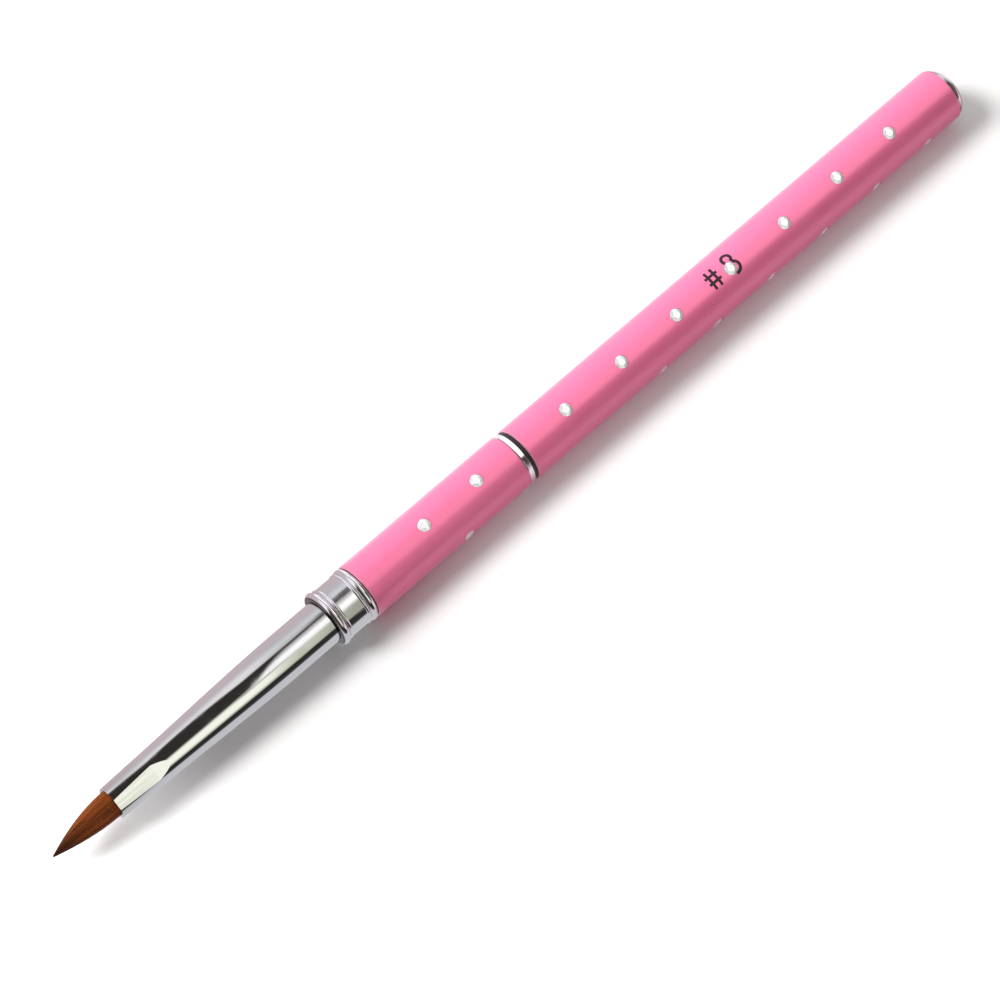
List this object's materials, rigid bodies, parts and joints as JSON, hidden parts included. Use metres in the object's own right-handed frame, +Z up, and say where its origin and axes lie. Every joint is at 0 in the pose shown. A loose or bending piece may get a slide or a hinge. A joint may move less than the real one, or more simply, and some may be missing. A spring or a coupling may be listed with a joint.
{
  "type": "acrylic nail brush",
  "caption": "Slim nail brush: pointed hair tuft in a bright tapered ferrule, beaded collar, crystal-set pink sleeve, and a pull-off pink handle tube that also serves as its cap.",
  "frame": {"origin": "on the surface that the brush lies on, below the middle of its length and width", "axes": "+X along the brush from the tip of the hair to the tail plug, +Z up from the surface, +Y to the left when looking along +X"},
  "size_m": [0.1636, 0.0082, 0.0082],
  "materials": {
    "hair": "fine red-brown natural hair, darker at its tip",
    "thread": "waxed thread",
    "glue": "cured epoxy, glossy",
    "chrome": "mirror bright plating",
    "stem_metal": "turned",
    "pink_lacquer": "pink lacquer with a satin pearl sheen",
    "core_plastic": "natural moulded plastic",
    "spigot_metal": "turned, satin",
    "black_rubber": "black, slight sheen",
    "liner_plastic": "natural moulded plastic",
    "crystal": "clear cut glass with a silvered back"
  },
  "bodies": {
    "brush_head": {"hair_tuft": "hair", "root_binding": "thread", "root_glue": "glue", "ferrule": "chrome", "ferrule_stem": "stem_metal", "collar": "chrome", "front_sleeve": "pink_lacquer", "sleeve_core": "core_plastic", "joint_ring": "chrome", "joint_spigot": "spigot_metal", "sleeve_crystal_a1": "crystal", "sleeve_crystal_a2": "crystal", "sleeve_crystal_b1": "crystal", "sleeve_crystal_c1": "crystal", "sleeve_crystal_c2": "crystal", "sleeve_crystal_d1": "crystal"},
    "gasket": {"joint_gasket": "black_rubber"},
    "handle": {"handle_tube": "pink_lacquer", "mouth_liner": "liner_plastic", "tail_bush": "core_plastic", "end_plug": "chrome", "handle_crystal_a1": "crystal", "handle_crystal_a2": "crystal", "handle_crystal_a3": "crystal", "handle_crystal_a4": "crystal", "handle_crystal_a5": "crystal", "handle_crystal_a6": "crystal", "handle_crystal_a7": "crystal", "handle_crystal_b1": "crystal", "handle_crystal_b2": "crystal", "handle_crystal_b3": "crystal", "handle_crystal_b4": "crystal", "handle_crystal_b5": "crystal", "handle_crystal_b6": "crystal", "handle_crystal_c1": "crystal", "handle_crystal_c2": "crystal", "handle_crystal_c3": "crystal", "handle_crystal_c4": "crystal", "handle_crystal_c5": "crystal", "handle_crystal_c6": "crystal", "handle_crystal_c7": "crystal", "handle_crystal_d1": "crystal", "handle_crystal_d2": "crystal", "handle_crystal_d3": "crystal", "handle_crystal_d4": "crystal", "handle_crystal_d5": "crystal", "handle_crystal_d6": "crystal"}
  },
  "joints": [
    {"name": "handle_twist", "type": "hinge", "parent": "brush_head", "child": "gasket", "pos_m": [-0.00168, 0, 0.0041], "axis": [1, 0, 0], "continuous": true},
    {"name": "handle_pull", "type": "slide", "parent": "gasket", "child": "handle", "axis": [1, 0, 0], "range_m": [0, 0.02]}
  ]
}
